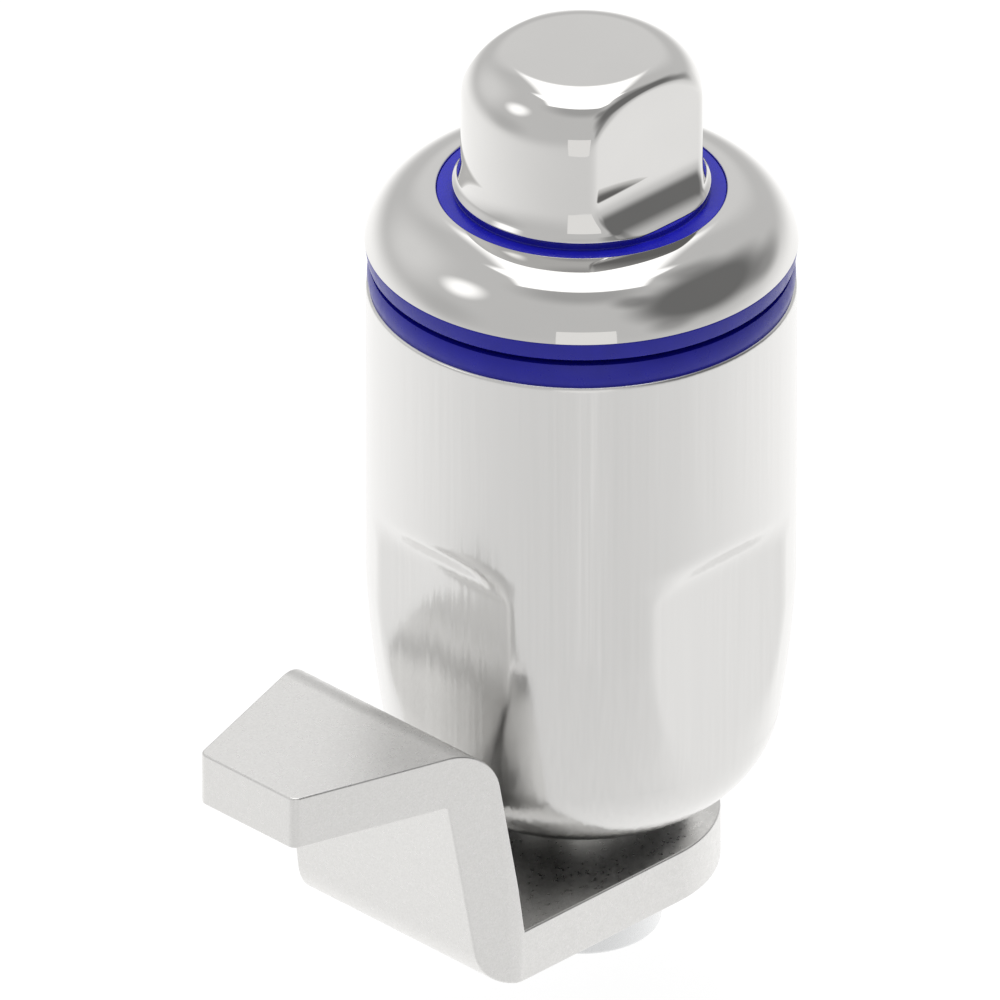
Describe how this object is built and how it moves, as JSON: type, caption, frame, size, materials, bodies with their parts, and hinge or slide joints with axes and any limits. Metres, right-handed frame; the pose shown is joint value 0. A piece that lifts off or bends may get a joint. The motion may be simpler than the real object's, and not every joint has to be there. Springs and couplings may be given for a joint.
{
  "type": "compression latch",
  "caption": "Compression latch with a flatted operating head, sealed domed flange, closed sleeve nut and a stepped cam that swings over and pulls in.",
  "frame": {"origin": "on the latch axis at the underside of the flange, where it meets the outside of the door", "axes": "+Z along the latch axis towards the operating head; the cam points along -X when the latch is locked"},
  "size_m": [0.048, 0.0302, 0.0694],
  "materials": {
    "polished_steel": "mirror-polished stainless steel",
    "brushed_sleeve_steel": "fine satin, brushed along the axis",
    "blasted_steel": "fine bead-blasted stainless steel",
    "seal_rubber": "smooth blue rubber",
    "pale_screw": "pale bluish plating",
    "inner_steel": "turned stainless steel",
    "spring_steel": "drawn spring wire",
    "guide_plastic": "smooth natural acetal",
    "black_rubber": "smooth black rubber"
  },
  "bodies": {
    "housing": {"housing_body": "polished_steel", "head_seal": "seal_rubber", "flange_seal": "seal_rubber", "sleeve_seal": "seal_rubber", "sleeve_nut": "brushed_sleeve_steel", "shaft_guide_ring": "guide_plastic", "shaft_seal": "seal_rubber", "end_bush": "inner_steel", "bush_key": "inner_steel", "bush_circlip": "spring_steel", "thrust_washer": "guide_plastic"},
    "carrier": {"guide_carrier": "inner_steel", "return_spring": "spring_steel"},
    "operating_head": {"drive_head": "polished_steel", "stem_o_ring": "black_rubber", "helix_sleeve": "inner_steel", "drive_pin": "inner_steel"},
    "shaft": {"cam_shaft": "inner_steel", "lift_pin": "inner_steel", "cam": "blasted_steel", "cam_screw": "pale_screw"}
  },
  "joints": [
    {"name": "cam_swing", "type": "hinge", "parent": "housing", "child": "carrier", "pos_m": [0, 0, -0.0292], "axis": [0, 0, 1], "range_deg": [0, 90]},
    {"name": "head_turn", "type": "hinge", "parent": "carrier", "child": "operating_head", "pos_m": [0, 0, 0], "axis": [0, 0, 1], "range_deg": [0, 90]},
    {"name": "cam_travel", "type": "slide", "parent": "carrier", "child": "shaft", "axis": [0, 0, -1], "range_m": [0, 0.006], "deforming": ["return_spring"]}
  ],
  "couplings": [
    {"joint": "head_turn", "follows": "cam_travel", "rad_per_m": 261.79}
  ]
}
